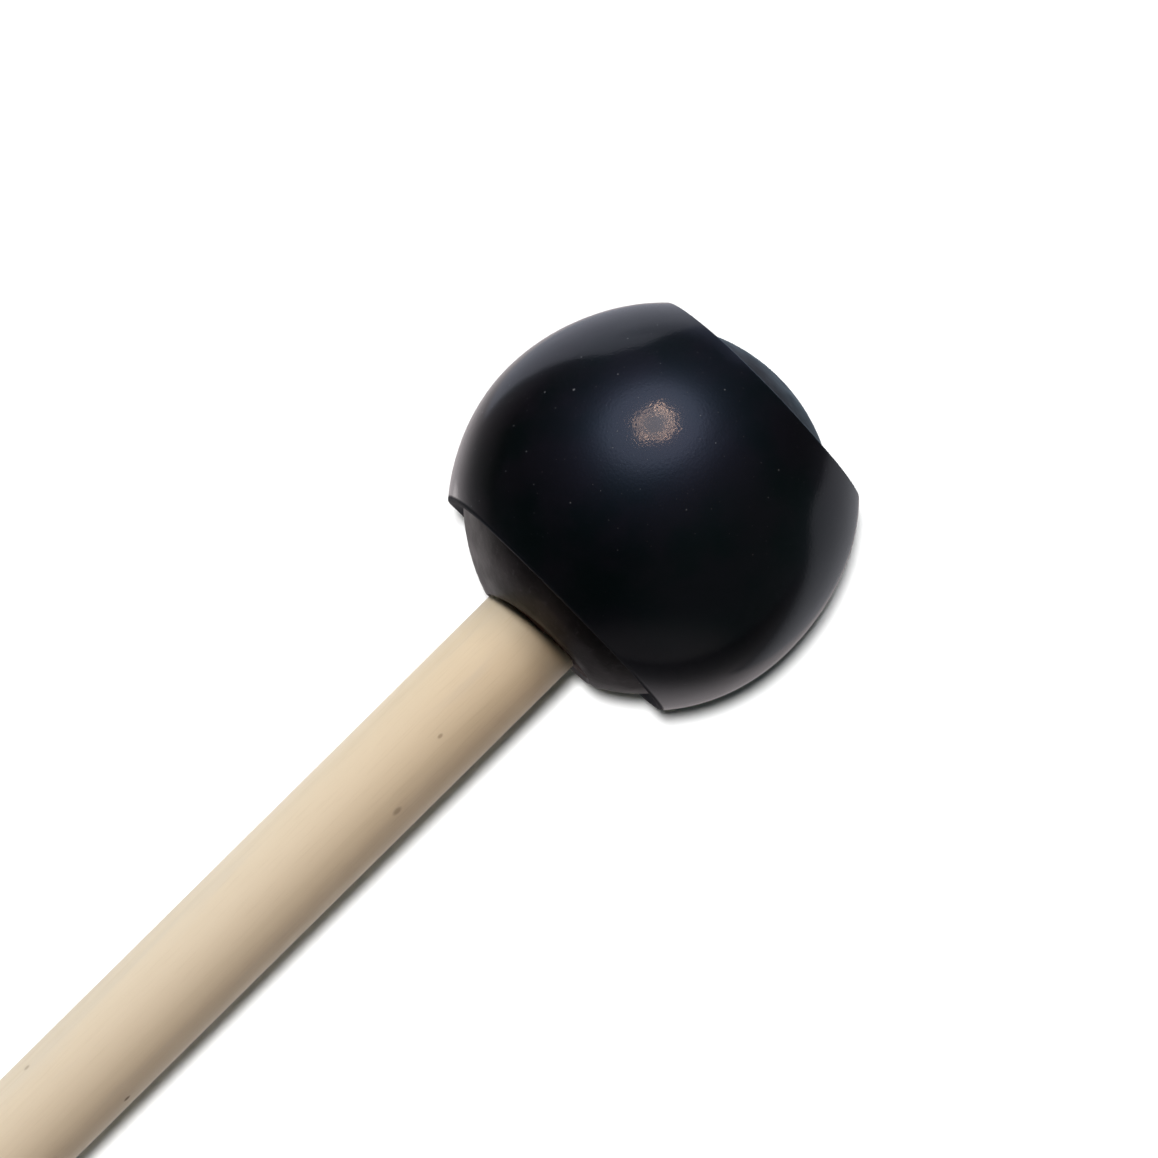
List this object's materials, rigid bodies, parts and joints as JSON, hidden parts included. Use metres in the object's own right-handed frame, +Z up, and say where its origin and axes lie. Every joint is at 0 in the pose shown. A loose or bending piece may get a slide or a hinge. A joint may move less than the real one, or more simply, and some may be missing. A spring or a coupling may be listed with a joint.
{
  "type": "marimba mallet",
  "caption": "Percussion mallet: a plain wooden shaft glued into a hard ball whose middle is covered by a stretched rubber sleeve, lying at rest on its head and butt.",
  "frame": {"origin": "on the table that the mallet lies on, under the middle of its bounding box", "axes": "+X towards the head along the table, +Z up; the shaft falls towards its butt by the small angle at which the head's crown and the rounded butt both touch the table"},
  "size_m": [0.3996, 0.0294, 0.0294],
  "materials": {
    "shaft_wood": "pale close-grained hardwood, sanded and sealed to a satin",
    "core_plastic": "dark satin, lightly scuffed and dusty",
    "sleeve_rubber": "black, smooth and half-glossy with specks of dust",
    "glue": "dried dark brown adhesive"
  },
  "bodies": {
    "root": {"shaft": "shaft_wood", "core_ball": "core_plastic", "rubber_sleeve": "sleeve_rubber", "shaft_glue": "glue"}
  },
  "joints": []
}
